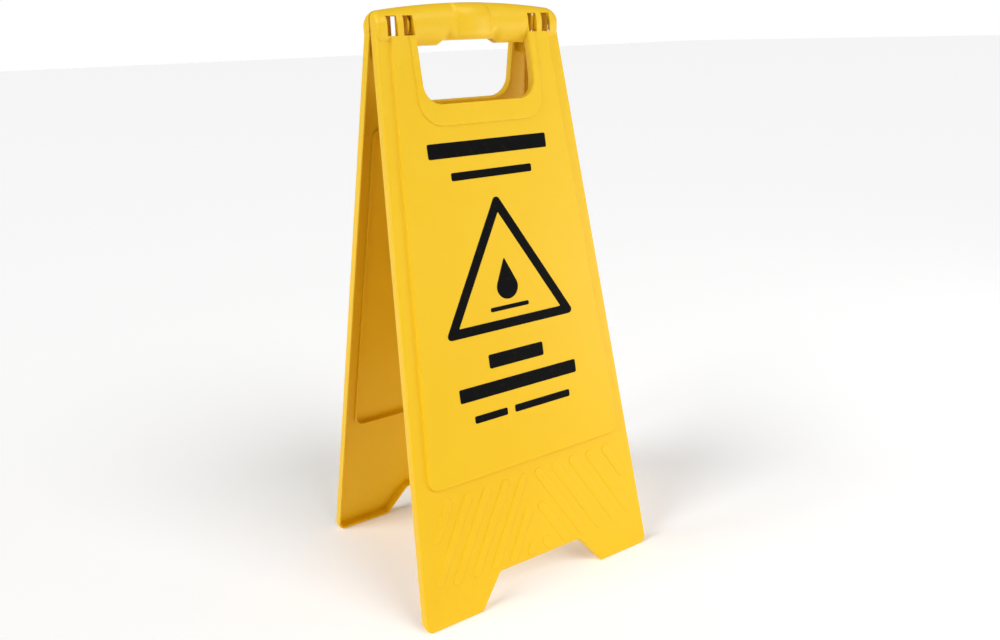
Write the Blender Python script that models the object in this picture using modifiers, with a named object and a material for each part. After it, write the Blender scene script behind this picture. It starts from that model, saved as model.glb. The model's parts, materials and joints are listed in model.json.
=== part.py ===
"""Folding A-frame wet floor sign: two moulded panels with half-round handle bars, hinged at the top.

Each panel is drawn in its own flat frame, whose origin is the hinge axis: X across the panel,
"down" from the axis along the panel, and "out" from the panel's inner plane to its outer face.
"""
import math

import bmesh
import bpy
from mathutils import Matrix

MM = 0.001

# Overall size, in millimetres
AXIS_HEIGHT = 600.5          # hinge axis above the floor with the sign open
TILT = math.radians(10.76)   # each panel's lean from vertical with the sign open
WIDTH_AT_AXIS = 210.0
WIDTH_AT_FLOOR = 300.0
PANEL_LENGTH = 611.25        # from the axis to the floor along the inner plane
GAP = 0.2                    # half the gap that the two panels' rims keep with the sign folded
BAR_GAP = 1.2                # the same for the lips of the handle bar

# Panel section
SKIN = 2.5                   # moulded wall
BOARD_SKIN = 2.7             # wall of the raised board
FORK_SKIN = 4.1              # wall left beside the hollow round the hand opening
MARGIN_OUT = 12.0            # outer face of the border, from the inner plane
BOARD_OUT = 15.5             # outer face of the raised board
LIP_OUT = 17.2               # outer face of the lip round the hand opening
OPENING_WALL_IN = 7.0        # where the opening's wall ends, short of the inner plane
BEAD_IN = 6.4                # crest of the bead round the hollow behind the board
BEAD = 2.6                   # the bead's width
BAR_OUT = 13.0               # outer face of the slanted grip bars at the foot

# Panel outline
PRONG_TOP = 6.0              # where the two legs of the panel end inside the handle bar
SOLE_CUT = 614.0             # drawn below the floor, then cut off level
POCKET_FLOOR = 608.4
BORDER = 14.6
BOARD_BOTTOM = 465.0
OPENING_HALF = 65.0
OPENING_BOTTOM = 79.0
LIP_HALF = 72.8
LIP_BOTTOM = 100.5
HOLLOW_TOP = 102.5           # top of the hollow behind the board
FORK_BOTTOM = 98.5           # bottom of the hollow round the hand opening
ARCH_HALF = 53.6             # top of the gap between the feet
ARCH_TOP = 577.0
FOOT_INNER = 81.0

# Slanted grip bars
BAR_PITCH = 23.6
BAR_WIDTH = 9.2
BAR_SLOPE = math.tan(math.radians(30.0))
BAR_FIRST = 9.8              # first bar's centre line at BAR_TOP
BAR_TOP = 482.0
BAR_BOTTOM = 567.5
BARS_PER_SIDE = 7
BAR_CLEAR = 8.5              # from a bar's centre to the middle of the panel
BAR_TO_EDGE = 19.5           # from a bar's centre to the panel's side

# Handle bar
BARREL_OUT = 17.5            # front of the bar, from the axis
BARREL_UP = 20.3             # top of the bar at the middle, above the axis
BARREL_DOWN = 20.3
ARCH_DROP = 6.3              # how far the bar's top has fallen at ARCH_REACH
ARCH_REACH = 99.0
END_ROUND = 7.0              # rounding of the bar's top corners
END_BEVEL = 4.0              # rounding of its front corners
END_HALF = WIDTH_AT_AXIS / 2
BOSS_HALF = 27.0             # the part of the bar without its deep lower lip
BOSS_RUNOUT = 10.5
BOSS_DOWN = 15.5
SWELL_HALF = 18.5            # the bowed pad in the middle of the bar's front
SWELL = 3.6
BARREL_STEPS = 18

# Slots through the bar's front, and the thicker wall between and beside them
SLOTS = ((66.5, 77.2), (83.6, 94.4))
SLOT_LOW = -9.6
SLOT_HIGH = 8.7
BLOCK = (64.6, 88.0)
BLOCK_OUT = 11.2
BLOCK_LOW = -11.8
BLOCK_HIGH = 10.9
BLOCK_SUNK = 0.7                  # how far the thick wall stays inside the bar's surface

# Hinge parts, as distances from the middle; the two ends of the sign differ (-1 left, 1 right)
EAR = {-1: (68.2, 70.6), 1: (74.2, 76.6)}
EAR_RADIUS = 12.2
EAR_WEB_OUT = 14.2
STAY = (93.4, 95.8)
STAY_RADIUS = 11.0
STAY_WEB_OUT = 11.0
EAR_BACK = 8.0
EAR_WEB_DOWN = 32.0
EAR_WEB_TOP = 10.4
EAR_WEB_GAP = 0.8                 # from the web to the panel's inner plane
KNUCKLE = {-1: (56.5, 65.2), 1: (61.9, 73.4)}
KNUCKLE_WEB = {-1: (58.5, 62.5), 1: (62.3, 66.1)}
KNUCKLE_RADIUS = 8.0
KNUCKLE_WEB_HALF = 4.0
PIN_RADIUS = 3.4
PIN_BORE = 3.75
PIN_PAST_KNUCKLE = 2.0
PIN_PAST_EAR = 0.4
PIN_HEAD_RADIUS = 5.0
PIN_HEAD = 1.8

YELLOW = (0.90, 0.58, 0.03, 1.0)
PIN_YELLOW = (0.88, 0.54, 0.03, 1.0)


def clear_scene():
    for obj in list(bpy.data.objects):
        bpy.data.objects.remove(obj, do_unlink=True)


def new_collection(name):
    collection = bpy.data.collections.new(name)
    bpy.context.scene.collection.children.link(collection)
    return collection


def plastic(name, colour, roughness):
    material = bpy.data.materials.new(name)
    material.use_nodes = True
    shader = material.node_tree.nodes["Principled BSDF"]
    shader.inputs["Base Color"].default_value = colour
    shader.inputs["Roughness"].default_value = roughness
    shader.inputs["Metallic"].default_value = 0.0
    return material


def half_width(down):
    """Half the panel's width at a distance down from the axis."""
    return (WIDTH_AT_AXIS + (WIDTH_AT_FLOOR - WIDTH_AT_AXIS) * down / PANEL_LENGTH) / 2


# ---- outlines: closed lists of (x, down, corner radius), and the shapes drawn from them ----

def both_sides(right_half):
    """A whole outline from the corners of its right half, listed from bottom to top."""
    left_half = [(-x, down, radius) for x, down, radius in reversed(right_half)]
    return right_half + left_half


def panel_side(sole):
    """The right half of the panel's edge: half of the arch, a foot and the long side."""
    return [
        (ARCH_HALF, ARCH_TOP, 6.0),
        (FOOT_INNER, sole, 2.5),
        (half_width(sole), sole, 8.0),
        (half_width(PRONG_TOP), PRONG_TOP, 0.0),
    ]


def board_side():
    """The right half of the raised board, which climbs both prongs to the handle bar."""
    top = PRONG_TOP - 1.0
    return [
        (half_width(BOARD_BOTTOM) - BORDER, BOARD_BOTTOM, 12.0),
        (half_width(top) - BORDER, top, 0.0),
    ]


def hollow_side():
    """The right half of the hollow behind the board, below the hand opening."""
    return [
        (half_width(BOARD_BOTTOM) - BORDER, BOARD_BOTTOM, 12.0),
        (half_width(HOLLOW_TOP) - BORDER, HOLLOW_TOP, 8.0),
    ]


def fork_side():
    """The right half of the shallower hollow that climbs both prongs."""
    top = PRONG_TOP - 1.0
    return [
        (half_width(FORK_BOTTOM) - BORDER, FORK_BOTTOM, 8.0),
        (half_width(top) - BORDER, top, 0.0),
    ]


def lip_side():
    return [(LIP_HALF, LIP_BOTTOM, 25.0), (LIP_HALF, PRONG_TOP - 5.0, 0.0)]


def opening_side(top):
    """The right half of the hand opening's edge, listed from top to bottom."""
    return [(OPENING_HALF, top, 0.0), (OPENING_HALF, OPENING_BOTTOM, 19.0)]


def forked(side):
    """An outline that goes round the hand opening and so ends in two prongs."""
    return both_sides(side + opening_side(side[-1][1]))


def edge_offset(start, end, distance):
    """A point and a direction on the edge moved to the outline's inside."""
    run = (end[0] - start[0], end[1] - start[1])
    length = math.hypot(*run)
    inward = (run[1] / length, -run[0] / length)
    return (start[0] + inward[0] * distance, start[1] + inward[1] * distance), run


def inset(corners, distance):
    """The same outline drawn a wall's thickness inside itself."""
    count = len(corners)
    result = []
    for i, corner in enumerate(corners):
        before, after = corners[i - 1], corners[(i + 1) % count]
        p, a = edge_offset(before, corner, distance)
        q, b = edge_offset(corner, after, distance)
        cross = a[0] * b[1] - a[1] * b[0]
        t = ((q[0] - p[0]) * b[1] - (q[1] - p[1]) * b[0]) / cross
        radius = corner[2]
        if radius > 0.0:
            radius += distance if cross > 0.0 else -distance
            radius = max(radius, 0.6)
        result.append((p[0] + a[0] * t, p[1] + a[1] * t, radius))
    return result


def rounded(corners, steps=6):
    """Outline points, with each corner replaced by its arc."""
    points = []
    count = len(corners)
    for i, (x, down, radius) in enumerate(corners):
        if radius <= 0.0:
            points.append((x, down))
            continue
        arms = []
        for other in (corners[i - 1], corners[(i + 1) % count]):
            dx, dd = other[0] - x, other[1] - down
            size = math.hypot(dx, dd)
            arms.append((dx / size, dd / size))
        (ax, ad), (bx, bd) = arms
        half = math.acos(max(-1.0, min(1.0, ax * bx + ad * bd))) / 2
        reach = radius / math.tan(half)
        mid = math.hypot(ax + bx, ad + bd)
        centre_x = x + (ax + bx) / mid * radius / math.sin(half)
        centre_d = down + (ad + bd) / mid * radius / math.sin(half)
        start = math.atan2(down + ad * reach - centre_d, x + ax * reach - centre_x)
        end = math.atan2(down + bd * reach - centre_d, x + bx * reach - centre_x)
        sweep = (end - start + math.pi) % (2 * math.pi) - math.pi
        for step in range(steps + 1):
            angle = start + sweep * step / steps
            points.append((centre_x + radius * math.cos(angle), centre_d + radius * math.sin(angle)))
    return points


def finish_mesh(mesh, name, collection, smooth=False):
    if smooth:
        mesh.shade_smooth()
        mesh.set_sharp_from_angle(angle=math.radians(32))
    obj = bpy.data.objects.new(name, mesh)
    collection.objects.link(obj)
    return obj


def plate_mesh(outlines, out_low, out_high):
    """Flat plates between two levels, standing in the panel's own frame, in metres."""
    curve = bpy.data.curves.new("outline", "CURVE")
    curve.dimensions = "2D"
    curve.fill_mode = "BOTH"
    curve.extrude = (out_high - out_low) / 2 * MM
    for points in outlines:
        spline = curve.splines.new("POLY")
        spline.points.add(len(points) - 1)
        for point, (x, down) in zip(spline.points, points):
            point.co = (x * MM, -down * MM, 0.0, 1.0)
        spline.use_cyclic_u = True
    drawn = bpy.data.objects.new("outline", curve)
    bpy.context.scene.collection.objects.link(drawn)
    evaluated = drawn.evaluated_get(bpy.context.evaluated_depsgraph_get())
    mesh = bpy.data.meshes.new_from_object(evaluated)
    bpy.data.objects.remove(drawn, do_unlink=True)
    bpy.data.curves.remove(curve)
    body = bmesh.new()
    body.from_mesh(mesh)
    bmesh.ops.remove_doubles(body, verts=body.verts, dist=0.00001)
    bmesh.ops.dissolve_limit(body, angle_limit=0.001, verts=body.verts, edges=body.edges)
    bmesh.ops.recalc_face_normals(body, faces=body.faces)
    body.to_mesh(mesh)
    body.free()
    stand = Matrix.Rotation(math.pi / 2, 4, "X")
    mesh.transform(Matrix.Translation((0, -(out_low + out_high) / 2 * MM, 0)) @ stand)
    return mesh


def plate(name, corners, out_low, out_high, collection, round_edge=0.0):
    obj = finish_mesh(plate_mesh([rounded(corners)], out_low, out_high), name, collection)
    if round_edge > 0.0:
        bevel = obj.modifiers.new("edge", "BEVEL")
        bevel.width = round_edge * MM
        bevel.segments = 2
        bevel.limit_method = "ANGLE"
        bevel.angle_limit = math.radians(50)
    return obj


def bar_outline(centre, side):
    """One slanted bar with round ends, cut short by the middle line and by the panel's side."""
    top = BAR_TOP + max(0.0, (BAR_CLEAR - centre) / BAR_SLOPE)
    side_slope = (WIDTH_AT_FLOOR - WIDTH_AT_AXIS) / PANEL_LENGTH / 2
    room = half_width(BAR_TOP) - BAR_TO_EDGE - centre
    bottom = min(BAR_BOTTOM, BAR_TOP + room / (BAR_SLOPE - side_slope))
    ends = [(centre + (down - BAR_TOP) * BAR_SLOPE, down) for down in (top, bottom)]
    lean = math.atan(BAR_SLOPE)
    points = []
    for index, (x, down) in enumerate(ends):
        for step in range(7):
            angle = math.pi * index + math.pi * step / 6 - lean
            points.append((side * (x - BAR_WIDTH / 2 * math.cos(angle)),
                           down - BAR_WIDTH / 2 * math.sin(angle)))
    return points


def grip_bars(collection):
    outlines = []
    for index in range(BARS_PER_SIDE):
        centre = BAR_FIRST + (index - 2) * BAR_PITCH
        for side in (-1, 1):
            outlines.append(bar_outline(centre, side))
    return finish_mesh(plate_mesh(outlines, MARGIN_OUT - 1.0, BAR_OUT), "bars", collection)


# ---- the half-round handle bar: a loft whose section changes along X ----

def blend(low, high, value):
    t = max(0.0, min(1.0, (value - low) / (high - low)))
    return t * t * (3 - 2 * t)


def end_fall(across, radius):
    """How far a rounded corner at the bar's end has fallen away at this distance from the middle."""
    corner = max(0.0, across - (END_HALF - radius))
    return radius - math.sqrt(max(0.0, radius ** 2 - corner ** 2))


def barrel_section(x, wall):
    """Half sizes and squareness of the bar's section at x, thinned by a wall."""
    across = abs(x)
    away = blend(BOSS_HALF - 8.0, BOSS_HALF + 1.0, across)
    below = blend(BOSS_HALF, BOSS_HALF + BOSS_RUNOUT, across)
    beside = blend(SWELL_HALF - 1.0, SWELL_HALF + 1.5, across)
    swell = SWELL * (1.0 - min(1.0, (across / SWELL_HALF) ** 2))
    out = BARREL_OUT + swell
    up = BARREL_UP - ARCH_DROP * (across / ARCH_REACH) ** 2
    up -= end_fall(across, END_ROUND)
    out -= end_fall(across, END_BEVEL)
    down = BOSS_DOWN + (BARREL_DOWN - BOSS_DOWN) * below
    square_up = 3.0 + (2.0 - 3.0) * beside
    ends = blend(55.0, 72.0, across)
    square_down = 4.5 + (2.2 - 4.5) * away + (3.0 - 2.2) * ends
    return out - wall, up - wall, down - wall, square_up, square_down


def section_point(section, angle):
    """A point of the section at an angle from straight out (0) to straight up (90 degrees)."""
    out, up, down, square_up, square_down = section
    cosine, sine = max(0.0, math.cos(angle)), math.sin(angle)
    square = square_up if sine > 0.0 else square_down
    height = up if sine > 0.0 else down
    y = -out * cosine ** (2 / square)
    z = height * math.copysign(abs(sine) ** (2 / square), sine)
    return y, z


def lip_angle(section, sign):
    """Where the section meets its flat back, which follows the panel's inner plane."""
    front, back = math.radians(40.0), math.radians(90.0)
    for _ in range(40):
        middle = (front + back) / 2
        y, z = section_point(section, sign * middle)
        if y < min(0.0, z) * math.tan(TILT) - BAR_GAP:
            front = middle
        else:
            back = middle
    return sign * (front + back) / 2


def barrel_ring(x, wall, overrun):
    """One upright section from the lower lip round the front to the upper lip, closed at the back."""
    section = barrel_section(x, wall)
    start, end = -math.pi / 2, math.pi / 2
    if overrun == 0.0:
        start, end = lip_angle(section, -1), lip_angle(section, 1)
    ring = []
    for step in range(BARREL_STEPS + 1):
        ring.append(section_point(section, start + (end - start) * step / BARREL_STEPS))
    if overrun > 0.0:
        return [(overrun, ring[0][1])] + ring[1:-1] + [(overrun, ring[-1][1])]
    return ring + [(-BAR_GAP, 0.0)]


def barrel_stations(reach):
    """Places along X, closer together where the section changes."""
    half = [0.0, 5.0, 10.0, 14.0, 17.0, 18.5, 20.2, 23.0, 26.0, 28.5, 30.5, 32.5, 34.5, 37.5]
    half += [48.0, 60.0, 72.0, 83.0, 92.0]
    half += [END_HALF - END_ROUND * (1 - math.sin(math.radians(a))) for a in (0, 20, 40, 58, 74, 88)]
    half = [x for x in half if x < reach - 0.5] + [reach]
    return [-x for x in reversed(half[1:])] + half


def loft(name, stations, wall, overrun, collection):
    """Skin the bar's sections and cap both ends."""
    body = bmesh.new()
    rings = []
    for x in stations:
        section = barrel_ring(x, wall, overrun)
        rings.append([body.verts.new((x * MM, y * MM, z * MM)) for y, z in section])
    count = len(rings[0])
    for left, right in zip(rings, rings[1:]):
        for i in range(count):
            j = (i + 1) % count
            body.faces.new((left[i], right[i], right[j], left[j]))
    body.faces.new(rings[0])
    body.faces.new(list(reversed(rings[-1])))
    bmesh.ops.triangulate(body, faces=body.faces)
    mesh = bpy.data.meshes.new(name)
    body.to_mesh(mesh)
    body.free()
    mesh.transform(Matrix.Rotation(TILT, 4, "X"))
    return finish_mesh(mesh, name, collection)


# ---- hinge parts inside the bar ----

def box(name, low, high, collection, upright=False):
    """A block between two corners given as (x, y, z); upright ones stand square to the floor."""
    body = bmesh.new()
    bmesh.ops.create_cube(body, size=1.0)
    size = [h - l for l, h in zip(low, high)]
    middle = [(h + l) / 2 for l, h in zip(low, high)]
    bmesh.ops.scale(body, vec=[s * MM for s in size], verts=body.verts)
    bmesh.ops.translate(body, vec=[m * MM for m in middle], verts=body.verts)
    mesh = bpy.data.meshes.new(name)
    body.to_mesh(mesh)
    body.free()
    if upright:
        mesh.transform(Matrix.Rotation(TILT, 4, "X"))
    return finish_mesh(mesh, name, collection)


def axle(name, start, end, radius, collection, sides=32):
    """A cylinder along X on the hinge axis."""
    body = bmesh.new()
    bmesh.ops.create_cone(body, cap_ends=True, segments=sides, radius1=radius * MM,
                          radius2=radius * MM, depth=abs(end - start) * MM)
    mesh = bpy.data.meshes.new(name)
    body.to_mesh(mesh)
    body.free()
    mesh.transform(Matrix.Rotation(math.pi / 2, 4, "Y"))
    mesh.transform(Matrix.Translation(((start + end) / 2 * MM, 0, 0)))
    return finish_mesh(mesh, name, collection)


def boolean(target, operation, operand):
    modifier = target.modifiers.new(operation.lower(), "BOOLEAN")
    modifier.operation = operation
    modifier.solver = "EXACT"
    modifier.object = operand
    return modifier


def thick_wall(name, side, collection):
    """The wall behind the bar's front where the slots are: a block trimmed to the bar's own shape."""
    low, high = sorted((side * BLOCK[0], side * BLOCK[1]))
    block = box(name, (low, -30.0, BLOCK_LOW), (high, -BLOCK_OUT, BLOCK_HIGH), collection, upright=True)
    stations = barrel_stations(END_HALF - BLOCK_SUNK)
    boolean(block, "INTERSECT", loft(name + "_trim", stations, BLOCK_SUNK, 0.0, collection))
    return block


def ear(name, side, faces, radius, web_out, collection):
    """A plate across the hinge axis: an arc in front, a flat back, and a web down into the leg."""
    near, far = faces
    start = math.acos(EAR_BACK / radius)
    end = 2 * math.pi - math.acos(EAR_WEB_GAP / radius)
    outline = [(web_out, EAR_WEB_DOWN), (web_out, EAR_WEB_TOP), (EAR_BACK, EAR_WEB_TOP)]
    for step in range(25):
        angle = start + (end - start) * step / 24
        outline.append((radius * math.cos(angle), -radius * math.sin(angle)))
    outline.append((EAR_WEB_GAP, EAR_WEB_DOWN))
    low, high = sorted((-side * near, -side * far))
    mesh = plate_mesh([outline], low, high)
    mesh.transform(Matrix.Rotation(-math.pi / 2, 4, "Z"))
    return finish_mesh(mesh, name, collection)


def knuckle(name, side, collection):
    """A short tube on the hinge axis, held off the front of the bar by a web."""
    near, far = KNUCKLE[side]
    tube = axle(name, side * near, side * far, KNUCKLE_RADIUS, collection)
    low, high = sorted(side * x for x in KNUCKLE_WEB[side])
    web = box(name + "_web", (low, -BARREL_OUT + 1.2, -KNUCKLE_WEB_HALF),
              (high, 0.0, KNUCKLE_WEB_HALF), collection, upright=True)
    boolean(tube, "UNION", web)
    return tube


# ---- the sub-parts ----

def place(obj, turned):
    """Stand a shape drawn in the panel's frame in the open sign."""
    obj.location = (0.0, 0.0, AXIS_HEIGHT * MM)
    obj.rotation_euler = (-TILT, 0.0, math.pi if turned else 0.0)


def panel(name, hinge_parts, turned, parts, cutters):
    """A moulded panel: outer forms joined, hollows taken out, hinge parts added, soles cut level."""
    known = set(bpy.data.objects)
    board, lip = both_sides(board_side()), both_sides(lip_side())
    opening = both_sides(list(reversed(opening_side(-20.0))))
    pocket = inset(forked(panel_side(POCKET_FLOOR + SKIN)), SKIN)
    hollow, fork = both_sides(hollow_side()), inset(forked(fork_side()), FORK_SKIN)
    bead = inset(hollow, BOARD_SKIN - BEAD)
    wall_end = inset(both_sides(list(reversed(opening_side(18.0)))), -SKIN - 1.0)
    floor_out = BOARD_OUT - BOARD_SKIN
    body = plate(name, both_sides(panel_side(SOLE_CUT)), GAP, MARGIN_OUT, parts, round_edge=1.2)
    steps = [
        ("UNION", plate(name + "_board", board, SKIN, BOARD_OUT, cutters, round_edge=1.2)),
        ("UNION", plate(name + "_lip", lip, SKIN * 2, LIP_OUT, cutters, round_edge=0.8)),
        ("DIFFERENCE", plate(name + "_opening", opening, -5.0, 30.0, cutters)),
        ("DIFFERENCE", plate(name + "_wall_end", wall_end, -4.0, OPENING_WALL_IN, cutters)),
        ("UNION", loft(name + "_bar", barrel_stations(END_HALF), 0.0, 0.0, cutters)),
        ("UNION", grip_bars(cutters)),
        ("DIFFERENCE", plate(name + "_pocket", pocket, -2.0, MARGIN_OUT - SKIN, cutters)),
        ("UNION", plate(name + "_bead", bead, BEAD_IN, MARGIN_OUT - 1.0, cutters, round_edge=0.7)),
        ("DIFFERENCE", plate(name + "_hollow", inset(hollow, BOARD_SKIN), -3.0, floor_out, cutters)),
        ("DIFFERENCE", plate(name + "_fork", fork, -3.5, floor_out - 0.2, cutters)),
        ("DIFFERENCE", loft(name + "_bore", barrel_stations(END_HALF - SKIN), SKIN, 6.0, cutters)),
    ]
    for side in (-1, 1):
        steps.append(("UNION", thick_wall(name + "_thick_wall", side, cutters)))
        for slot in SLOTS:
            low, high = sorted(side * x for x in slot)
            cut = box(name + "_slot", (low, -30.0, SLOT_LOW), (high, -7.5, SLOT_HIGH), cutters, upright=True)
            steps.append(("DIFFERENCE", cut))
        for operand in hinge_parts(name, side, cutters):
            steps.append(("UNION", operand))
        end = -side if turned else side
        bore = axle(name + "_pin_bore", side * (KNUCKLE[end][0] - 3), side * (EAR[end][1] + 2),
                    PIN_BORE, cutters)
        steps.append(("DIFFERENCE", bore))
    for operation, operand in steps:
        boolean(body, operation, operand)
    for obj in set(bpy.data.objects) - known:
        place(obj, turned)
    boolean(body, "DIFFERENCE", box(name + "_floor", (-400, -400, -60), (400, 400, 0), cutters))
    return body


def front_hinge(name, side, cutters):
    return [knuckle(f"{name}_knuckle_{side}", side, cutters)]


def back_hinge(name, side, cutters):
    """Turning the back panel round swaps its ends, so its left parts are drawn on the right."""
    return [ear(f"{name}_ear_{side}", side, EAR[-side], EAR_RADIUS, EAR_WEB_OUT, cutters),
            ear(f"{name}_stay_{side}", side, STAY, STAY_RADIUS, STAY_WEB_OUT, cutters)]


def hinge_pin(name, side, parts, cutters):
    """A headed pin through a knuckle and the ear beside it."""
    start, end = KNUCKLE[side][0] - PIN_PAST_KNUCKLE, EAR[side][1] + PIN_PAST_EAR
    pin = axle(name, side * start, side * end, PIN_RADIUS, parts)
    head = axle(name + "_head", side * (end - 0.01), side * (end + PIN_HEAD), PIN_HEAD_RADIUS, cutters)
    boolean(pin, "UNION", head)
    for obj in (pin, head):
        obj.location = (0.0, 0.0, AXIS_HEIGHT * MM)
    return pin


def build():
    clear_scene()
    parts = new_collection("wet_floor_sign")
    cutters = new_collection("cutters")
    yellow = plastic("sign_yellow", YELLOW, 0.42)
    pin_plastic = plastic("pin_plastic", PIN_YELLOW, 0.4)
    made = [
        (panel("front_panel", front_hinge, False, parts, cutters), yellow),
        (panel("back_panel", back_hinge, True, parts, cutters), yellow),
        (hinge_pin("hinge_pin_left", -1, parts, cutters), pin_plastic),
        (hinge_pin("hinge_pin_right", 1, parts, cutters), pin_plastic),
    ]
    for obj, material in made:
        obj.data.materials.append(material)
        obj.data.shade_smooth()
        obj.data.set_sharp_from_angle(angle=math.radians(32))
    for cutter in cutters.objects:
        cutter.hide_render = True
        cutter.display_type = "WIRE"


build()
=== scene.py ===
import json
import math

import bmesh
import bpy
from mathutils import Matrix, Vector


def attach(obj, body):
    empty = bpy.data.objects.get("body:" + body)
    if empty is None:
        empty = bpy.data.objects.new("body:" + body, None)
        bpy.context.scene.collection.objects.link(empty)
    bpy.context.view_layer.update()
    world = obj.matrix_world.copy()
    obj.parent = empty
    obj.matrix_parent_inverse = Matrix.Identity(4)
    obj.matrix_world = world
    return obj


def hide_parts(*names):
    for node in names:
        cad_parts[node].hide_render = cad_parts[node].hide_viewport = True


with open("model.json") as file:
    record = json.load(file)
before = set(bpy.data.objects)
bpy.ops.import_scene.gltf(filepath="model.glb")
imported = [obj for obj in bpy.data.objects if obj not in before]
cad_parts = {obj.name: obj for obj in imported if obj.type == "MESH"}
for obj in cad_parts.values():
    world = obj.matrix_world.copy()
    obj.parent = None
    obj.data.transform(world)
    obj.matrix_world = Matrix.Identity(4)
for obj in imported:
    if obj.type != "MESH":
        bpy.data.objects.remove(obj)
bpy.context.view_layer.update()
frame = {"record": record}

MM = 0.001

# The sign as the CAD has it, in millimetres. Each panel is drawn in its own flat frame, whose origin is
# the hinge axis: X across the panel, "down" along it, "out" from its inner plane to its outer face.
AXIS_HEIGHT = frame["record"]["behaviour"]["joints"][0]["pos_m"][2] / MM
TILT = math.radians(10.76)
WIDTH_AT_AXIS = 210.0
WIDTH_AT_FLOOR = 300.0
PANEL_LENGTH = 611.25        # from the axis to the floor along the inner plane
RIM = 0.2                    # the rim's distance from the panel's inner plane
BAR_GAP = 1.2                # the same for the lips of the handle bar
SKIN = 2.5                   # moulded wall
BOARD_SKIN = 2.7             # wall of the raised board
FORK_SKIN = 4.1              # wall left beside the hollow round the hand opening
MARGIN_OUT = 12.0            # outer face of the border
BOARD_OUT = 15.5             # outer face of the raised board
LIP_OUT = 17.2               # outer face of the lip round the hand opening
OPENING_WALL_IN = 7.0        # where the opening's wall ends, short of the inner plane
BEAD_IN = 6.4                # crest of the bead round the hollow behind the board
BEAD = 2.6                   # the bead's width
PRONG_TOP = 6.0              # where the two legs of the panel end inside the handle bar
BORDER = 14.6
BOARD_BOTTOM = 465.0
OPENING_HALF = 65.0
OPENING_BOTTOM = 79.0
LIP_HALF = 72.8
LIP_BOTTOM = 100.5
HOLLOW_TOP = 102.5           # top of the hollow behind the board
FORK_BOTTOM = 98.5           # bottom of the hollow round the hand opening
ARCH_HALF = 53.6             # top of the gap between the feet
ARCH_TOP = 577.0
FOOT_INNER = 81.0
SOLE_LIFT = 0.35             # how far the pocket's floor stays above the sole

# Roundings of the moulding's edges
TRAY_ROUND = 1.8
POCKET_ROUND = 1.2
BOARD_ROUND = 1.6
LIP_ROUND = 0.9
LIP_FILLET = 0.7
OPENING_ROUND = 2.2
ROOT = 6.0                   # where the board and the lip start, inside the moulding's wall
BURIED = 0.02                # how far a fillet's foot sinks into the face below it
SHARP = math.radians(32.0)   # edges that turn by more than this are shaded sharp
FINE_ARC = 14                # steps in the arcs round the hand opening

# Slanted grip bars at the foot
BAR_PITCH = 23.6
BAR_WIDTH = 9.6
BAR_SLOPE = math.tan(math.radians(30.0))
BAR_FIRST = 9.8              # centre line of the bar nearest the middle that starts at BAR_TOP
BAR_TOP = 482.0
BAR_BOTTOM = 567.5
BARS_PER_SIDE = 7
BARS_PAST_MIDDLE = 2         # bars whose upper end is cut short by the middle line
BAR_CLEAR = 8.5              # from a bar's centre to the middle of the panel
BAR_TO_EDGE = 19.5           # from a bar's centre to the panel's side
# a bar's soft side, as (rise above the border's face, widening)
BAR_SIDE = ((-0.9, 1.5), (0.1, 0.5), (0.4, 0.2), (0.6, -0.05), (0.78, -0.35), (0.9, -0.75), (0.95, -1.3))

# Handle bar
BARREL_OUT = 17.5            # front of the bar, from the axis
BARREL_UP = 20.3             # top of the bar at the middle, above the axis
BARREL_DOWN = 20.3
ARCH_DROP = 6.3              # how far the bar's top has fallen at ARCH_REACH
ARCH_REACH = 99.0
END_ROUND = 7.0              # rounding of the bar's top corners
END_BEVEL = 4.0              # rounding of its front corners
END_HALF = WIDTH_AT_AXIS / 2
BOSS_HALF = 27.0             # the part of the bar without its deep lower lip
BOSS_RUNOUT = 10.5
BOSS_DOWN = 15.5
SWELL_HALF = 18.5            # the bowed pad in the middle of the bar's front
SWELL = 3.6
BARREL_STEPS = 30
BORE_OVERRUN = 6.0           # how far the bar's hollow is cut past the inner plane

# Slots through the bar's front, and the thicker wall round them
SLOTS = ((66.5, 77.2), (83.6, 94.4))
SLOT_LOW = -9.6
SLOT_HIGH = 8.7
SLOT_BACK = -7.5
AHEAD = -30.0                # well in front of the bar
BLOCK = (64.6, 88.0)
BLOCK_OUT = 11.2
BLOCK_LOW = -11.8
BLOCK_HIGH = 10.9
BLOCK_SUNK = 0.7             # how far the thick wall stays inside the bar's surface

# Hinge parts, as distances from the middle; the two ends of the sign differ (-1 left, 1 right)
EAR = {-1: (68.2, 70.6), 1: (74.2, 76.6)}
EAR_RADIUS = 12.2
EAR_WEB_OUT = 14.2
STAY = (93.4, 95.8)
STAY_RADIUS = 11.0
STAY_WEB_OUT = 11.0
EAR_BACK = 8.0
EAR_WEB_DOWN = 32.0
EAR_WEB_TOP = 10.4
EAR_WEB_GAP = 0.8            # from the web to the panel's inner plane
EAR_TRIM = 0.5               # rounding of the ears' and stays' rims
KNUCKLE = {-1: (56.5, 65.2), 1: (61.9, 73.4)}
KNUCKLE_WEB = {-1: (58.5, 62.5), 1: (62.3, 66.1)}
KNUCKLE_RADIUS = 8.0
KNUCKLE_WEB_HALF = 4.0
PIN_RADIUS = 3.4
PIN_BORE = 3.75
PIN_PAST_KNUCKLE = 2.0
PIN_PAST_EAR = 0.4
PIN_HEAD_RADIUS = 5.0
PIN_HEAD = 1.8

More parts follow.
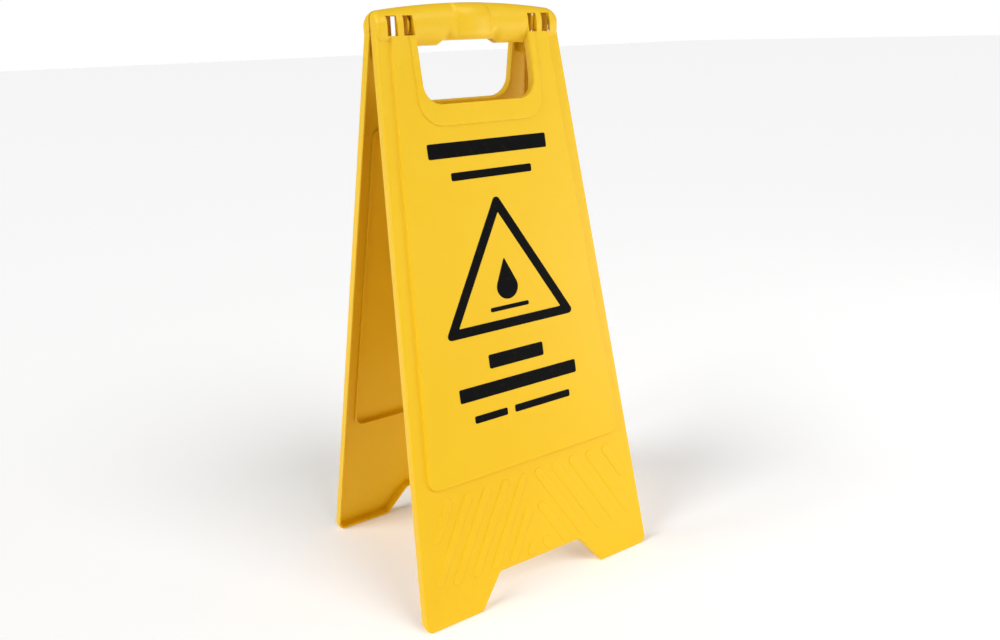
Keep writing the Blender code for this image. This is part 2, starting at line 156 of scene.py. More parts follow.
# The print on each board: bars in place of the lines of lettering (half width, top, bottom)
INK_SUNK = 0.1
INK_OUT = 0.15
INK_BARS = ((71.0, 116.8, 131.9), (48.5, 147.0, 155.2), (34.5, 338.0, 353.0), (74.5, 366.8, 381.6))
INK_WORDS = ((-60.5, -20.0), (-10.5, 62.0))
INK_WORDS_AT = (398.6, 406.6)
SIGN_APEX = 171.8
SIGN_BASE = 314.3
SIGN_HALF = 81.5
SIGN_BAND = 10.1
SIGN_ROUND = 4.5
SIGN_HOLE_ROUND = 0.6
DROP_RADIUS = 13.0
DROP_MIDDLE = 271.0
DROP_TIP = 240.0
DROP_LINE = (24.0, 290.0, 294.6)

# Colours of the plastic and the ink, as pairs that the noise drifts between
BASE_YELLOW = ((0.90, 0.540, 0.0, 1), (0.925, 0.560, 0.001, 1))
# painted sheen: the whiter yellow that the plastic is mixed towards higher up, light off the upper faces
# painted into the colour
SHEEN_YELLOW = ((0.88, 0.545, 0.012, 1), (0.90, 0.570, 0.020, 1))
FLECK = (0.94, 0.60, 0.03, 1)
DUST = (0.42, 0.25, 0.05, 1)
SCUFF = (0.94, 0.62, 0.06, 1)
INK_COVER = ((0.003, 0.003, 0.003, 1), (0.014, 0.010, 0.004, 1))
PIN_DRIFT = ((0.74, 0.43, 0.014, 1), (0.82, 0.50, 0.02, 1))

# Camera, in metres and radians, and the strengths of the lights
CAMERA_AT = Vector((-0.4537, -0.7803, 0.5894))
CAMERA_YAW = math.radians(31.80)
CAMERA_DOWN = math.radians(18.88)
CAMERA_ROLL = math.radians(-1.98)
CAMERA_LENS = 30.09
KEY = 1.3
SIDE = 2.1
SKY = 0.15
FILL = 7.0
FLOOR_GLOW = 0.12


# ---------------------------------------------------------------- outlines

def half_width(down):
    return (WIDTH_AT_AXIS + (WIDTH_AT_FLOOR - WIDTH_AT_AXIS) * down / PANEL_LENGTH) / 2


def sole_at(out):
    """How far down the panel the level floor lies, at a distance out from the inner plane."""
    return (AXIS_HEIGHT + out * math.sin(TILT)) / math.cos(TILT)


def both_sides(right_half):
    left_half = [(-x, down, radius) for x, down, radius in reversed(right_half)]
    return right_half + left_half


def panel_side(sole):
    return [
        (ARCH_HALF, ARCH_TOP, 6.0),
        (FOOT_INNER, sole, 2.5),
        (half_width(sole), sole, 8.0),
        (half_width(PRONG_TOP), PRONG_TOP, 0.0),
    ]


def board_side():
    top = PRONG_TOP - 1.0
    return [
        (half_width(BOARD_BOTTOM) - BORDER, BOARD_BOTTOM, 12.0),
        (half_width(top) - BORDER, top, 0.0),
    ]


def hollow_side():
    return [
        (half_width(BOARD_BOTTOM) - BORDER, BOARD_BOTTOM, 12.0),
        (half_width(HOLLOW_TOP) - BORDER, HOLLOW_TOP, 8.0),
    ]


def fork_side():
    top = PRONG_TOP - 1.0
    return [
        (half_width(FORK_BOTTOM) - BORDER, FORK_BOTTOM, 8.0),
        (half_width(top) - BORDER, top, 0.0),
    ]


def lip_side():
    return [(LIP_HALF, LIP_BOTTOM, 25.0), (LIP_HALF, PRONG_TOP - 5.0, 0.0)]


def opening_side(top):
    return [(OPENING_HALF, top, 0.0), (OPENING_HALF, OPENING_BOTTOM, 19.0)]


def forked(side):
    return both_sides(side + opening_side(side[-1][1]))


def edge_offset(start, end, distance):
    run = (end[0] - start[0], end[1] - start[1])
    length = math.hypot(*run)
    inward = (run[1] / length, -run[0] / length)
    return (start[0] + inward[0] * distance, start[1] + inward[1] * distance), run


def inset(corners, distance):
    """The same outline drawn inside itself, or outside where the distance is negative."""
    count = len(corners)
    result = []
    for i, corner in enumerate(corners):
        before, after = corners[i - 1], corners[(i + 1) % count]
        p, a = edge_offset(before, corner, distance)
        q, b = edge_offset(corner, after, distance)
        cross = a[0] * b[1] - a[1] * b[0]
        t = ((q[0] - p[0]) * b[1] - (q[1] - p[1]) * b[0]) / cross
        radius = corner[2]
        if radius > 0.0:
            radius += distance if cross > 0.0 else -distance
            radius = max(radius, 0.4)
        result.append((p[0] + a[0] * t, p[1] + a[1] * t, radius))
    return result


def rounded(corners, steps=10):
    points = []
    count = len(corners)
    for i, (x, down, radius) in enumerate(corners):
        if radius <= 0.0:
            points.append((x, down))
            continue
        arms = []
        for other in (corners[i - 1], corners[(i + 1) % count]):
            dx, dd = other[0] - x, other[1] - down
            size = math.hypot(dx, dd)
            arms.append((dx / size, dd / size))
        (ax, ad), (bx, bd) = arms
        half = math.acos(max(-1.0, min(1.0, ax * bx + ad * bd))) / 2
        reach = radius / math.tan(half)
        mid = math.hypot(ax + bx, ad + bd)
        centre_x = x + (ax + bx) / mid * radius / math.sin(half)
        centre_d = down + (ad + bd) / mid * radius / math.sin(half)
        start = math.atan2(down + ad * reach - centre_d, x + ax * reach - centre_x)
        end = math.atan2(down + bd * reach - centre_d, x + bx * reach - centre_x)
        sweep = (end - start + math.pi) % (2 * math.pi) - math.pi
        for step in range(steps + 1):
            angle = start + sweep * step / steps
            points.append((centre_x + radius * math.cos(angle), centre_d + radius * math.sin(angle)))
    return points


# ---------------------------------------------------------------- solids in the panel's frame

def link(mesh, name):
    obj = bpy.data.objects.new(name, mesh)
    bpy.context.scene.collection.objects.link(obj)
    return obj


def to_mesh(body, name):
    mesh = bpy.data.meshes.new(name)
    body.to_mesh(mesh)
    body.free()
    return mesh


def close_rings(body, rings):
    """Join rings of vertices side to side and cap the first and the last."""
    count = len(rings[0])
    for low, high in zip(rings, rings[1:]):
        for i in range(count):
            j = (i + 1) % count
            body.faces.new((low[i], low[j], high[j], high[i]))
    body.faces.new(list(reversed(rings[0])))
    body.faces.new(rings[-1])


def skin_rings(name, rings):
    """A closed solid through rings of (x, y, z) points, capped at both ends."""
    body = bmesh.new()
    made = [[body.verts.new([c * MM for c in point]) for point in ring] for ring in rings]
    close_rings(body, made)
    bmesh.ops.recalc_face_normals(body, faces=body.faces)
    return to_mesh(body, name)


def round_top(top, radius, steps=5):
    """Levels of (out, inset) that round an outer edge over."""
    levels = []
    for step in range(steps + 1):
        angle = math.pi / 2 * step / steps
        levels.append((top - radius * (1 - math.sin(angle)), radius * (1 - math.cos(angle))))
    return levels


def fillet_foot(base, radius, steps=4):
    """Levels that sweep an outline out on to the face it stands on."""
    levels = []
    for step in range(steps + 1):
        angle = math.pi / 2 * step / steps
        levels.append((base + radius * (1 - math.cos(angle)), -radius * (1 - math.sin(angle))))
    return levels


def stack(name, outline_at, levels, steps=10):
    """A solid of stacked outlines: outline_at(out) drawn inset at each (out, inset) level."""
    rings = []
    for out, amount in levels:
        points = rounded(inset(outline_at(out), amount), steps)
        rings.append([(x, -out, -down) for x, down in points])
    return skin_rings(name, rings)


def blend(low, high, value):
    t = max(0.0, min(1.0, (value - low) / (high - low)))
    return t * t * (3 - 2 * t)


def end_fall(across, radius):
    """How far a rounded corner at the bar's end has fallen away at this distance from the middle."""
    corner = max(0.0, across - (END_HALF - radius))
    return radius - math.sqrt(max(0.0, radius ** 2 - corner ** 2))


def barrel_section(x, wall):
    """Half sizes and squareness of the bar's section at x, thinned by a wall."""
    across = abs(x)
    away = blend(BOSS_HALF - 8.0, BOSS_HALF + 1.0, across)
    below = blend(BOSS_HALF, BOSS_HALF + BOSS_RUNOUT, across)
    beside = blend(SWELL_HALF - 1.0, SWELL_HALF + 1.5, across)
    swell = SWELL * (1.0 - min(1.0, (across / SWELL_HALF) ** 2))
    out = BARREL_OUT + swell
    up = BARREL_UP - ARCH_DROP * (across / ARCH_REACH) ** 2
    up -= end_fall(across, END_ROUND)
    out -= end_fall(across, END_BEVEL)
    down = BOSS_DOWN + (BARREL_DOWN - BOSS_DOWN) * below
    square_up = 3.0 + (2.0 - 3.0) * beside
    ends = blend(55.0, 72.0, across)
    square_down = 4.5 + (2.2 - 4.5) * away + (3.0 - 2.2) * ends
    return out - wall, up - wall, down - wall, square_up, square_down


def section_point(section, angle):
    """A point of the section at an angle from straight out (0) to straight up (90 degrees)."""
    out, up, down, square_up, square_down = section
    cosine, sine = max(0.0, math.cos(angle)), math.sin(angle)
    square = square_up if sine > 0.0 else square_down
    height = up if sine > 0.0 else down
    y = -out * cosine ** (2 / square)
    z = height * math.copysign(abs(sine) ** (2 / square), sine)
    return y, z


def lip_angle(section, sign):
    """Where the section meets its flat back, which follows the panel's inner plane."""
    front, back = math.radians(40.0), math.radians(90.0)
    for _ in range(40):
        middle = (front + back) / 2
        y, z = section_point(section, sign * middle)
        if y < min(0.0, z) * math.tan(TILT) - BAR_GAP:
            front = middle
        else:
            back = middle
    return sign * (front + back) / 2


def barrel_ring(x, wall, overrun):
    """One upright section from the lower lip round the front to the upper lip, closed at the back."""
    section = barrel_section(x, wall)
    start, end = -math.pi / 2, math.pi / 2
    if overrun == 0.0:
        start, end = lip_angle(section, -1), lip_angle(section, 1)
    ring = []
    for step in range(BARREL_STEPS + 1):
        ring.append(section_point(section, start + (end - start) * step / BARREL_STEPS))
    if overrun > 0.0:
        return [(overrun, ring[0][1])] + ring[1:-1] + [(overrun, ring[-1][1])]
    return ring + [(-BAR_GAP, 0.0)]


def barrel_stations(reach):
    """Places along X, closer together where the section changes."""
    half = [0.0, 3.0, 6.0, 9.0, 12.0, 15.0, 17.2, 18.0, 18.6, 19.3, 20.2, 22.0, 24.0, 26.0, 27.5, 29.0]
    half += [30.5, 32.0, 33.5, 35.0, 36.5, 38.0]
    half += [46.0, 54.0, 60.0, 66.0, 72.0, 78.0, 84.0, 90.0]
    half += [END_HALF - END_ROUND * (1 - math.sin(math.radians(a))) for a in range(0, 91, 10)]
    half = [x for x in half if x < reach - 0.4] + [reach]
    return [-x for x in reversed(half[1:])] + half


def barrel(name, reach, wall, overrun):
    """The half-round handle bar, or the hollow inside it, turned into the panel's frame."""
    body = bmesh.new()
    rings = []
    for x in barrel_stations(reach):
        section = barrel_ring(x, wall, overrun)
        rings.append([body.verts.new((x * MM, y * MM, z * MM)) for y, z in section])
    count = len(rings[0])
    for left, right in zip(rings, rings[1:]):
        for i in range(count):
            j = (i + 1) % count
            body.faces.new((left[i], right[i], right[j], left[j]))
    body.faces.new(rings[0])
    body.faces.new(list(reversed(rings[-1])))
    bmesh.ops.triangulate(body, faces=body.faces)
    mesh = to_mesh(body, name)
    mesh.transform(Matrix.Rotation(TILT, 4, "X"))
    return mesh


def box(name, low, high, upright=False):
    """A block between two corners in millimetres; upright ones stand square to the floor."""
    body = bmesh.new()
    bmesh.ops.create_cube(body, size=1.0)
    bmesh.ops.scale(body, vec=[(h - l) * MM for l, h in zip(low, high)], verts=body.verts)
    bmesh.ops.translate(body, vec=[(h + l) / 2 * MM for l, h in zip(low, high)], verts=body.verts)
    mesh = to_mesh(body, name)
    if upright:
        mesh.transform(Matrix.Rotation(TILT, 4, "X"))
    return mesh


def bar_centre_line(index):
    """Both ends of one slanted bar's centre line on the right half of the panel."""
    centre = BAR_FIRST + (index - BARS_PAST_MIDDLE) * BAR_PITCH
    top = BAR_TOP + max(0.0, (BAR_CLEAR - centre) / BAR_SLOPE)
    side_slope = (WIDTH_AT_FLOOR - WIDTH_AT_AXIS) / PANEL_LENGTH / 2
    room = half_width(BAR_TOP) - BAR_TO_EDGE - centre
    bottom = min(BAR_BOTTOM, BAR_TOP + room / (BAR_SLOPE - side_slope))
    return [(centre + (down - BAR_TOP) * BAR_SLOPE, down) for down in (top, bottom)]


def grip_bar_ring(body, index, side, rise, radius):
    """One level of a bar: a half circle round each end of its centre line."""
    lean = math.atan(BAR_SLOPE)
    ring = []
    for end, (x, down) in enumerate(bar_centre_line(index)):
        for step in range(13):
            angle = math.pi * end + math.pi * step / 12 - lean
            ring.append(body.verts.new((side * (x - radius * math.cos(angle)) * MM,
                                        -(MARGIN_OUT + rise) * MM,
                                        -(down - radius * math.sin(angle)) * MM)))
    return ring


def grip_bars():
    """Low bars with round ends and soft sides, all in one mesh."""
    body = bmesh.new()
    for index in range(BARS_PER_SIDE):
        for side in (-1, 1):
            rings = []
            for rise, spread in BAR_SIDE:
                rings.append(grip_bar_ring(body, index, side, rise, BAR_WIDTH / 2 + spread))
            close_rings(body, rings)
    bmesh.ops.recalc_face_normals(body, faces=body.faces)
    return to_mesh(body, "grip_bars")


def boolean_chain(name, base, steps):
    """Apply a run of Booleans and keep only the result's mesh."""
    body = link(base, name)
    helpers = []
    for operation, mesh in steps:
        helper = link(mesh, name + "_helper")
        helpers.append(helper)
        modifier = body.modifiers.new(operation, "BOOLEAN")
        modifier.operation = operation
        modifier.solver = "EXACT"
        modifier.object = helper
    graph = bpy.context.evaluated_depsgraph_get()
    result = bpy.data.meshes.new_from_object(body.evaluated_get(graph))
    for obj in helpers + [body]:
        mesh = obj.data
        bpy.data.objects.remove(obj, do_unlink=True)
        bpy.data.meshes.remove(mesh)
    return result


def thick_wall(side):
    """The wall behind the bar's front where the slots are."""
    low, high = sorted((side * BLOCK[0], side * BLOCK[1]))
    block = box("block", (low, AHEAD, BLOCK_LOW), (high, -BLOCK_OUT, BLOCK_HIGH), True)
    trim = barrel("trim", END_HALF - BLOCK_SUNK, BLOCK_SUNK, 0.0)
    return boolean_chain("block", block, [("INTERSECT", trim)])


def outer_forms():
    """What stands on the tray: the raised board, the lip and the handle bar, with the opening cut."""
    board = [(ROOT, -BOARD_ROUND)] + fillet_foot(MARGIN_OUT - BURIED, BOARD_ROUND)
    board += round_top(BOARD_OUT, BOARD_ROUND)
    lip = [(ROOT, -LIP_FILLET)] + fillet_foot(BOARD_OUT - BURIED, LIP_FILLET, 3)
    lip += round_top(LIP_OUT, LIP_ROUND, 4)
    opening = [(-5.0, -0.6), (RIM, -0.6), (RIM + 0.3, -0.2), (RIM + 0.9, 0.0)]
    opening += [(out, -amount) for out, amount in round_top(LIP_OUT + BURIED, OPENING_ROUND, 6)]
    opening += [(30.0, -OPENING_ROUND)]
    wall_end = [(-4.0, -SKIN - 1.0), (OPENING_WALL_IN, -SKIN - 1.0)]
    # seen from outside, the opening's corners run the other way round
    hand = both_sides(list(reversed(opening_side(-20.0))))
    below_bar = both_sides(list(reversed(opening_side(18.0))))
    return [
        ("UNION", stack("board", lambda out: both_sides(board_side()), board)),
        ("UNION", stack("lip", lambda out: both_sides(lip_side()), lip, FINE_ARC)),
        ("DIFFERENCE", stack("opening", lambda out: hand, opening, FINE_ARC)),
        ("DIFFERENCE", stack("wall_end", lambda out: below_bar, wall_end, FINE_ARC)),
        ("UNION", barrel("bar", END_HALF, 0.0, 0.0)),
        ("UNION", grip_bars()),
    ]


def hollow_levels(start, wall, floor_out, steps):
    """Levels of a hollow that is cut from behind, with a rounded floor."""
    rounding = round_top(floor_out, POCKET_ROUND, steps)
    return [(start, wall)] + [(out, wall + amount) for out, amount in rounding]


def hollows():
    """The pocket behind the whole panel, and the deeper hollows inside a bead and round the opening."""
    pocket = [(-2.0, SKIN - 0.6), (RIM, SKIN - 0.6), (RIM + 0.25, SKIN - 0.25)]
    pocket += hollow_levels(RIM + 0.8, SKIN, MARGIN_OUT - SKIN, 2)
    floor_out = BOARD_OUT - BOARD_SKIN
    hollow = hollow_levels(-3.0, BOARD_SKIN, floor_out, 3)
    fork = hollow_levels(-3.5, FORK_SKIN, floor_out - 0.2, 3)
    edge = BOARD_SKIN - BEAD
    bead = [(BEAD_IN, edge + 0.9), (BEAD_IN + 0.12, edge + 0.45), (BEAD_IN + 0.5, edge + 0.12)]
    bead += [(BEAD_IN + 1.0, edge), (MARGIN_OUT - 1.0, edge)]
    return [
        ("DIFFERENCE", stack("pocket", lambda out: forked(panel_side(sole_at(0.0) - SOLE_LIFT)), pocket)),
        ("UNION", stack("bead", lambda out: both_sides(hollow_side()), bead)),
        ("DIFFERENCE", stack("hollow", lambda out: both_sides(hollow_side()), hollow)),
        ("DIFFERENCE", stack("fork", lambda out: forked(fork_side()), fork)),
        ("DIFFERENCE", barrel("bore", END_HALF - SKIN, SKIN, BORE_OVERRUN)),
    ]


def slots():
    """The thick wall and the two slots at each end of the bar."""
    steps = []
    for side in (-1, 1):
        steps.append(("UNION", thick_wall(side)))
        for slot in SLOTS:
            low, high = sorted(side * x for x in slot)
            cut = box("slot", (low, AHEAD, SLOT_LOW), (high, SLOT_BACK, SLOT_HIGH), True)
            steps.append(("DIFFERENCE", cut))
    return steps


def panel_mesh():
    """The whole moulding without its hinge parts."""
    tray = [(RIM, 0.7), (RIM + 0.25, 0.3), (RIM + 0.8, 0.0)] + round_top(MARGIN_OUT, TRAY_ROUND)
    base = stack("tray", lambda out: both_sides(panel_side(sole_at(out))), tray)
    return boolean_chain("panel", base, outer_forms() + hollows() + slots())


def ear_mesh(side, faces, radius, web_out):
    """A plate across the hinge axis, its rim rounded, with a web down into the leg."""
    rings = []
    near, far = faces
    levels = ((near, EAR_TRIM), (near + EAR_TRIM, 0.0), (far - EAR_TRIM, 0.0), (far, EAR_TRIM))
    for x, trim in levels:
        rim = radius - trim
        start = math.acos(EAR_BACK / rim)
        end = 2 * math.pi - math.acos(EAR_WEB_GAP / rim)
        outline = [(web_out, EAR_WEB_DOWN), (web_out, EAR_WEB_TOP), (EAR_BACK, EAR_WEB_TOP)]
        for step in range(41):
            angle = start + (end - start) * step / 40
            outline.append((rim * math.cos(angle), -rim * math.sin(angle)))
        outline.append((EAR_WEB_GAP, EAR_WEB_DOWN))
        rings.append([(side * x, -out, -down) for out, down in outline])
    return skin_rings("ear", rings)


def lathe(name, side, profile, segments=48):
    """A closed profile of (x, radius) turned round the hinge axis."""
    body = bmesh.new()
    loops = []
    for x, radius in profile:
        turns = [2 * math.pi * i / segments for i in range(segments)]
        loops.append([body.verts.new((side * x * MM, radius * MM * math.cos(a), radius * MM * math.sin(a)))
                      for a in turns])
    for low, high in zip(loops, loops[1:] + loops[:1]):
        for i in range(segments):
            j = (i + 1) % segments
            body.faces.new((low[i], low[j], high[j], high[i]))
    bmesh.ops.remove_doubles(body, verts=body.verts, dist=1e-7)
    bmesh.ops.dissolve_degenerate(body, edges=body.edges, dist=1e-7)
    bmesh.ops.recalc_face_normals(body, faces=body.faces)
    return to_mesh(body, name)


def knuckle_mesh(side):
    """A bored tube round the pin, with a web to the bar's front."""
    near, far = KNUCKLE[side]
    rim = KNUCKLE_RADIUS
    profile = [(near, PIN_BORE), (near, rim - 0.6), (near + 0.6, rim), (far - 0.6, rim), (far, rim - 0.6)]
    tube = lathe("knuckle", side, profile + [(far, PIN_BORE)])
    low, high = sorted(side * x for x in KNUCKLE_WEB[side])
    web = box("web", (low, -BARREL_OUT + 1.2, -KNUCKLE_WEB_HALF), (high, -5.0, KNUCKLE_WEB_HALF), True)
    return boolean_chain("knuckle", tube, [("UNION", web)])


def pin_mesh(side):
    """A headed pin with its edges eased."""
    start, end = KNUCKLE[side][0] - PIN_PAST_KNUCKLE, EAR[side][1] + PIN_PAST_EAR
    top = end + PIN_HEAD
    profile = [(start, 0.0), (start, PIN_RADIUS - 0.5), (start + 0.5, PIN_RADIUS), (end, PIN_RADIUS)]
    profile += [(end, PIN_HEAD_RADIUS - 0.4), (end + 0.4, PIN_HEAD_RADIUS), (top - 0.6, PIN_HEAD_RADIUS)]
    profile += [(top, PIN_HEAD_RADIUS - 0.7), (top, 0.0)]
    return lathe("pin", side, profile)


# ---------------------------------------------------------------- print

def ink_sheet(name, outlines):
    """Thin ink lying on the board: each outline is (outer points, inner points or None)."""
    body = bmesh.new()
    low_out, high_out = BOARD_OUT - INK_SUNK, BOARD_OUT + INK_OUT
    for outer, inner in outlines:
        walls = [outer] if inner is None else [outer, inner]
        made = []
        for points in walls:
            made.append([[body.verts.new((x * MM, -out * MM, -down * MM)) for x, down in points]
                         for out in (low_out, high_out)])
        for low, high in made:
            for i in range(len(low)):
                j = (i + 1) % len(low)
                body.faces.new((low[i], low[j], high[j], high[i]))
        for level in (0, 1):
            if inner is None:
                body.faces.new(made[0][level])
                continue
            ring, hole = made[0][level], made[1][level]
            for i in range(len(ring)):
                j = (i + 1) % len(ring)
                body.faces.new((ring[i], ring[j], hole[j], hole[i]))
    bmesh.ops.recalc_face_normals(body, faces=body.faces)
    return to_mesh(body, name)


def bar_points(left, right, top, bottom, radius=2.0):
    corners = [(left, top, radius), (left, bottom, radius), (right, bottom, radius), (right, top, radius)]
    return rounded(corners, 6)


def drop_points():
    """A plain drop: a round base and two straight flanks that meet at a soft tip."""
    lean = math.acos(DROP_RADIUS / (DROP_MIDDLE - DROP_TIP))
    points = []
    for step in range(33):
        angle = -math.pi / 2 + lean + (2 * math.pi - 2 * lean) * step / 32
        points.append((DROP_RADIUS * math.cos(angle), DROP_MIDDLE + DROP_RADIUS * math.sin(angle)))
    for x, below_tip in ((-0.7, 1.2), (0.0, 0.8), (0.7, 1.2)):
        points.append((x, DROP_TIP + below_tip))
    return points


def lettering_bars():
    outlines = [(bar_points(-half, half, top, bottom), None) for half, top, bottom in INK_BARS]
    outlines += [(bar_points(left, right, *INK_WORDS_AT), None) for left, right in INK_WORDS]
    return ink_sheet("print_bars", outlines)


def triangle_sign():
    corners = [(x, down, SIGN_ROUND) for x, down in
               ((0.0, SIGN_APEX), (-SIGN_HALF, SIGN_BASE), (SIGN_HALF, SIGN_BASE))]
    outer = rounded(corners)
    inner = rounded([(x, down, SIGN_HOLE_ROUND) for x, down, radius in inset(corners, SIGN_BAND)])
    return ink_sheet("print_triangle", [(outer, inner)])


def drop_sign():
    half, top, bottom = DROP_LINE
    return ink_sheet("print_drop", [(drop_points(), None), (bar_points(-half, half, top, bottom), None)])


# ---------------------------------------------------------------- materials

def new_material(name):
    material = bpy.data.materials.new(name)
    material.use_nodes = True
    tree = material.node_tree
    return material, tree, tree.nodes["Principled BSDF"]


def noise(tree, coords, scale, detail=3.0, rough=0.5, stretch=(1.0, 1.0, 1.0)):
    mapping = tree.nodes.new("ShaderNodeMapping")
    mapping.inputs["Scale"].default_value = stretch
    tree.links.new(coords, mapping.inputs["Vector"])
    node = tree.nodes.new("ShaderNodeTexNoise")
    node.inputs["Scale"].default_value = scale
    node.inputs["Detail"].default_value = detail
    node.inputs["Roughness"].default_value = rough
    tree.links.new(mapping.outputs["Vector"], node.inputs["Vector"])
    return node.outputs["Fac"]


def span(tree, value, from_low, from_high, to_low, to_high):
    """The value's range carried over to another range, and held at its ends."""
    node = tree.nodes.new("ShaderNodeMapRange")
    node.inputs["From Min"].default_value = from_low
    node.inputs["From Max"].default_value = from_high
    node.inputs["To Min"].default_value = to_low
    node.inputs["To Max"].default_value = to_high
    tree.links.new(value, node.inputs["Value"])
    return node.outputs["Result"]


def mix(tree, factor, first, second):
    node = tree.nodes.new("ShaderNodeMix")
    node.data_type = "RGBA"
    tree.links.new(factor, node.inputs["Factor"])
    for socket, colour in ((node.inputs[6], first), (node.inputs[7], second)):
        if hasattr(colour, "is_output"):
            tree.links.new(colour, socket)
        else:
            socket.default_value = colour
    return node.outputs[2]


def combine(tree, first, second, operation):
    node = tree.nodes.new("ShaderNodeMath")
    node.operation = operation
    tree.links.new(first, node.inputs[0])
    tree.links.new(second, node.inputs[1])
    return node.outputs[0]


def bump(tree, height, strength, distance):
    node = tree.nodes.new("ShaderNodeBump")
    node.inputs["Strength"].default_value = strength
    node.inputs["Distance"].default_value = distance
    tree.links.new(height, node.inputs["Height"])
    return node


def sign_plastic():
    """Yellow moulded polypropylene: fine grain, slight colour drift, a painted sheen that turns it paler
    towards the top, faint scuffs.
    """
    material, tree, shader = new_material("yellow_plastic")
    coords = tree.nodes.new("ShaderNodeTexCoord").outputs["Object"]
    drift = noise(tree, coords, 5.0, 2.0)
    fleck = noise(tree, coords, 420.0, 2.0)
    place = tree.nodes.new("ShaderNodeSeparateXYZ")
    tree.links.new(coords, place.inputs[0])
    # painted sheen: the colour turns paler and whiter with height, from 0.15 m to 0.6 m up
    painted_sheen_rise = span(tree, place.outputs["Z"], 0.15, 0.6, 0.0, 1.0)
    base_yellow = mix(tree, span(tree, drift, 0.35, 0.65, 0.0, 1.0), *BASE_YELLOW)
    sheen_yellow = mix(tree, span(tree, drift, 0.35, 0.65, 0.0, 1.0), *SHEEN_YELLOW)
    colour = mix(tree, painted_sheen_rise, base_yellow, sheen_yellow)
    colour = mix(tree, span(tree, fleck, 0.62, 0.8, 0.0, 0.12), colour, FLECK)
    low_down = span(tree, place.outputs["Z"], 0.10, 0.0, 0.0, 1.0)
    patches = span(tree, noise(tree, coords, 60.0, 6.0, 0.65), 0.5, 0.72, 0.0, 0.08)
    colour = mix(tree, combine(tree, low_down, patches, "MULTIPLY"), colour, DUST)
    scratch = noise(tree, coords, 90.0, 2.0, 0.4, (1.0, 1.0, 0.06))
    scuffs = span(tree, scratch, 0.68, 0.76, 0.0, 0.12)
    tree.links.new(mix(tree, scuffs, colour, SCUFF), shader.inputs["Base Color"])
    rough = span(tree, noise(tree, coords, 34.0, 4.0, 0.6), 0.3, 0.7, 0.36, 0.46)
    tree.links.new(combine(tree, rough, scuffs, "ADD"), shader.inputs["Roughness"])
    grain = bump(tree, noise(tree, coords, 1500.0, 3.0), 0.25, 0.00012)
    sink = bump(tree, noise(tree, coords, 9.0, 1.0), 0.35, 0.0012)
    tree.links.new(sink.outputs["Normal"], grain.inputs["Normal"])
    tree.links.new(grain.outputs["Normal"], shader.inputs["Normal"])
    shader.inputs["Specular IOR Level"].default_value = 0.36
    shader.inputs["IOR"].default_value = 1.49
    return material


def ink():
    """Black screen print: slightly uneven cover."""
    material, tree, shader = new_material("print_black")
    coords = tree.nodes.new("ShaderNodeTexCoord").outputs["Object"]
    cover = span(tree, noise(tree, coords, 160.0, 4.0, 0.6), 0.55, 0.8, 0.0, 1.0)
    tree.links.new(mix(tree, cover, *INK_COVER), shader.inputs["Base Color"])
    rough = span(tree, noise(tree, coords, 500.0), 0.3, 0.7, 0.5, 0.62)
    tree.links.new(rough, shader.inputs["Roughness"])
    shader.inputs["Specular IOR Level"].default_value = 0.06
    return material


def pin_plastic():
    """The pins' smoother, slightly duller yellow."""
    material, tree, shader = new_material("pin_plastic")
    coords = tree.nodes.new("ShaderNodeTexCoord").outputs["Object"]
    drift = span(tree, noise(tree, coords, 300.0, 3.0), 0.35, 0.65, 0.0, 1.0)
    tree.links.new(mix(tree, drift, *PIN_DRIFT), shader.inputs["Base Color"])
    rough = span(tree, noise(tree, coords, 900.0), 0.3, 0.7, 0.3, 0.42)
    tree.links.new(rough, shader.inputs["Roughness"])
    return material


def floor_material():
    material, tree, shader = new_material("floor")
    shader.inputs["Base Color"].default_value = (0.95, 0.95, 0.95, 1)
    shader.inputs["Roughness"].default_value = 0.9
    shader.inputs["Emission Color"].default_value = (1.0, 1.0, 1.0, 1)
    shader.inputs["Emission Strength"].default_value = FLOOR_GLOW
    return material


# ---------------------------------------------------------------- pieces

def stand(mesh, turned):
    """Take a mesh drawn in the panel's frame to its place in the open sign."""
    turn = Matrix.Rotation(math.pi, 4, "Z") if turned else Matrix.Identity(4)
    lift = Matrix.Translation((0, 0, AXIS_HEIGHT * MM))
    mesh.transform(lift @ turn @ Matrix.Rotation(-TILT, 4, "X"))


def piece(name, mesh, material, body, turned):
    """Place a mesh and say which body it rides on."""
    stand(mesh, turned)
    obj = link(mesh, name)
    mesh.materials.append(material)
    mesh.shade_smooth()
    mesh.set_sharp_from_angle(angle=SHARP)
    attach(obj, body)
    return obj


def weigh_normals(obj):
    modifier = obj.modifiers.new("flat faces stay flat", "WEIGHTED_NORMAL")
    modifier.keep_sharp = True
    modifier.weight = 100


YELLOW = sign_plastic()
BLACK = ink()
PIN_YELLOW = pin_plastic()
moulding = panel_mesh()

for name, body, turned in (("front", "front", False), ("back", "back", True)):
    panel = piece(name + "_moulding", moulding.copy(), YELLOW, body, turned)
    weigh_normals(panel)
    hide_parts(name + "_panel")

    for label, mesh in (("bars", lettering_bars()), ("triangle", triangle_sign()), ("drop", drop_sign())):
        piece(name + "_print_" + label, mesh, BLACK, body, turned)

for side, word in ((-1, "left"), (1, "right")):
    piece("front_knuckle_" + word, knuckle_mesh(side), YELLOW, "front", False)
    ear = ear_mesh(-side, EAR[side], EAR_RADIUS, EAR_WEB_OUT)
    piece("back_ear_" + word, ear, YELLOW, "back", True)
    stay = ear_mesh(-side, STAY, STAY_RADIUS, STAY_WEB_OUT)
    piece("back_stay_" + word, stay, YELLOW, "back", True)
    pin = piece("pin_" + word, pin_mesh(side), PIN_YELLOW, "front", False)
    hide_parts("hinge_pin_" + word)

# ---------------------------------------------------------------- camera, floor and lights

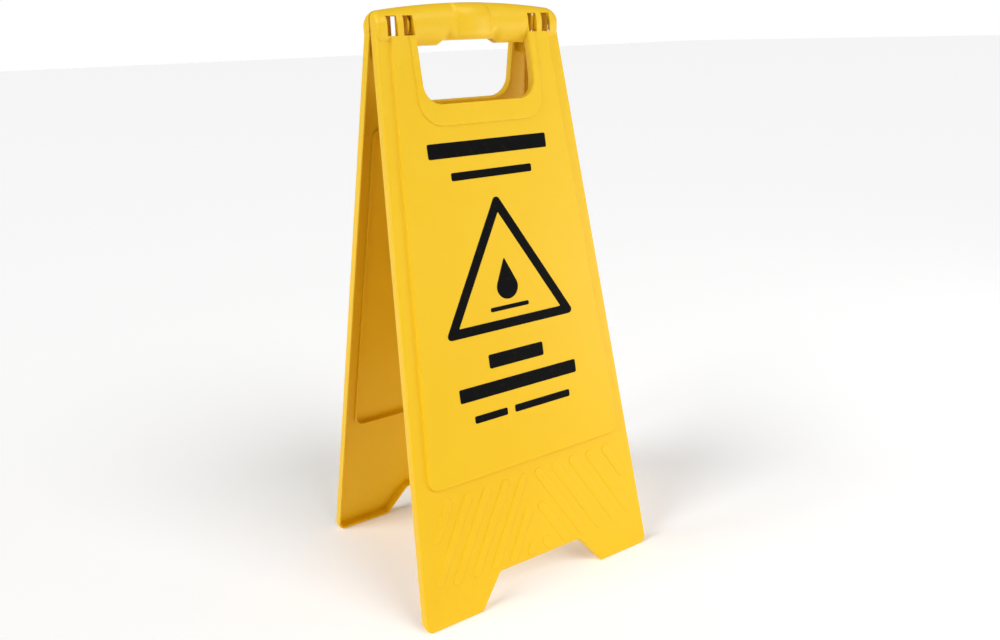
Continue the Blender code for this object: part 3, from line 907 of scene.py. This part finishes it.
def add_camera():
    data = bpy.data.cameras.new("camera")
    data.lens = CAMERA_LENS
    data.sensor_width = 36.0
    data.clip_start = 0.01
    camera = bpy.data.objects.new("camera", data)
    bpy.context.scene.collection.objects.link(camera)
    turn = Matrix.Rotation(-CAMERA_YAW, 4, "Z") @ Matrix.Rotation(math.pi / 2 - CAMERA_DOWN, 4, "X")
    camera.matrix_world = Matrix.Translation(CAMERA_AT) @ turn @ Matrix.Rotation(CAMERA_ROLL, 4, "Z")
    bpy.context.scene.camera = camera


def sun(name, azimuth, elevation, strength, spread):
    """A soft distant light that comes from an azimuth (degrees from +X) and an elevation."""
    data = bpy.data.lights.new(name, "SUN")
    data.energy = strength
    data.angle = math.radians(spread)
    light = bpy.data.objects.new(name, data)
    bpy.context.scene.collection.objects.link(light)
    a, e = math.radians(azimuth), math.radians(elevation)
    away = Vector((math.cos(a) * math.cos(e), math.sin(a) * math.cos(e), math.sin(e)))
    light.rotation_euler = away.to_track_quat("Z", "Y").to_euler()


def soft_box(name, place, aim, size, power):
    """A round soft light near the sign."""
    data = bpy.data.lights.new(name, "AREA")
    data.shape = "DISK"
    data.size = size
    data.energy = power
    lamp = bpy.data.objects.new(name, data)
    lamp.location = place
    lamp.rotation_euler = (Vector(aim) - Vector(place)).to_track_quat("-Z", "Y").to_euler()
    bpy.context.scene.collection.objects.link(lamp)


def add_stage():
    """A pale floor, a white surround and three soft lights."""
    bpy.ops.mesh.primitive_plane_add(size=60.0, location=(0, 0, -0.0005))
    floor = bpy.context.object
    floor.name = "floor"
    floor.data.materials.append(floor_material())
    world = bpy.data.worlds.new("studio")
    world.use_nodes = True
    tree = world.node_tree
    background = tree.nodes["Background"]
    background.inputs["Color"].default_value = (1.0, 1.0, 1.0, 1)
    seen = tree.nodes.new("ShaderNodeLightPath").outputs["Is Camera Ray"]
    tree.links.new(span(tree, seen, 0.0, 1.0, SKY, 1.0), background.inputs["Strength"])
    bpy.context.scene.world = world
    sun("key", -72.0, 46.0, KEY, 35.0)
    sun("side", 178.0, 40.0, SIDE, 40.0)
    soft_box("fill", (1.25, -1.0, 0.30), (0.0, 0.0, 0.25), 0.9, FILL)


add_camera()
add_stage()
bpy.context.scene.view_settings.view_transform = "Standard"
